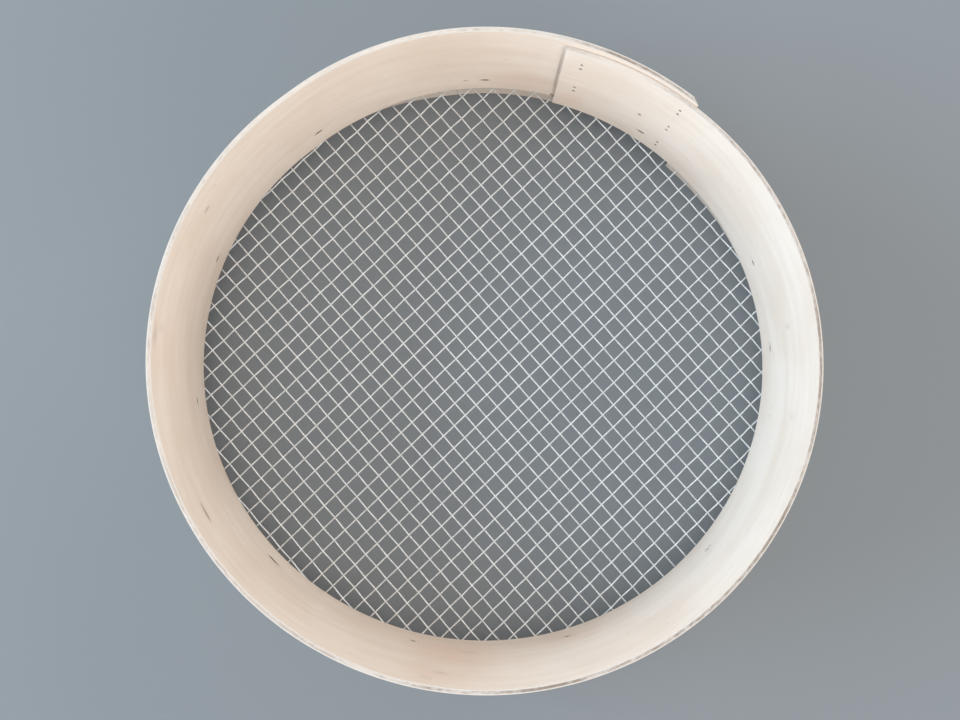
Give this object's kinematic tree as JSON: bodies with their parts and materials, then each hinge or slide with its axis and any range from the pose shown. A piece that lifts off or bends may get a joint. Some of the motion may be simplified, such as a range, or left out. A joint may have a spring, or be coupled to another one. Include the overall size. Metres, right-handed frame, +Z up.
{
  "type": "wooden sieve",
  "caption": "Round bentwood riddle sieve: a lapped thin plywood hoop with a coarse woven wire bottom, clamped by a narrow outer band and stapled.",
  "frame": {"origin": "middle of the foot's outline, on the surface that the sieve stands on", "axes": "+Z up along the hoop's axis, from the wire to the rim; +X along the hoop's longer width; the hoop's lap is between +X and +Y"},
  "size_m": [0.414, 0.4092, 0.0954],
  "materials": {
    "hoop_plywood": "bare sanded birch plywood, matt",
    "band_plywood": "bare sanded birch plywood, matt",
    "wire": "bright galvanised wire",
    "staple": "dull galvanised wire"
  },
  "bodies": {
    "root": {"main_hoop": "hoop_plywood", "clamp_band": "band_plywood", "wire_cloth": "wire", "hoop_staple_inner_end_1": "staple", "hoop_staple_inner_end_2": "staple", "hoop_staple_outer_end_1": "staple", "hoop_staple_outer_end_2": "staple", "band_staple_01": "staple", "band_staple_02": "staple", "band_staple_03": "staple", "band_staple_04": "staple", "band_staple_05": "staple", "band_staple_06": "staple", "band_staple_07": "staple", "band_staple_08": "staple", "band_staple_09": "staple", "band_staple_10": "staple", "band_staple_11": "staple", "band_staple_12": "staple", "band_staple_lap_end": "staple"}
  },
  "joints": []
}
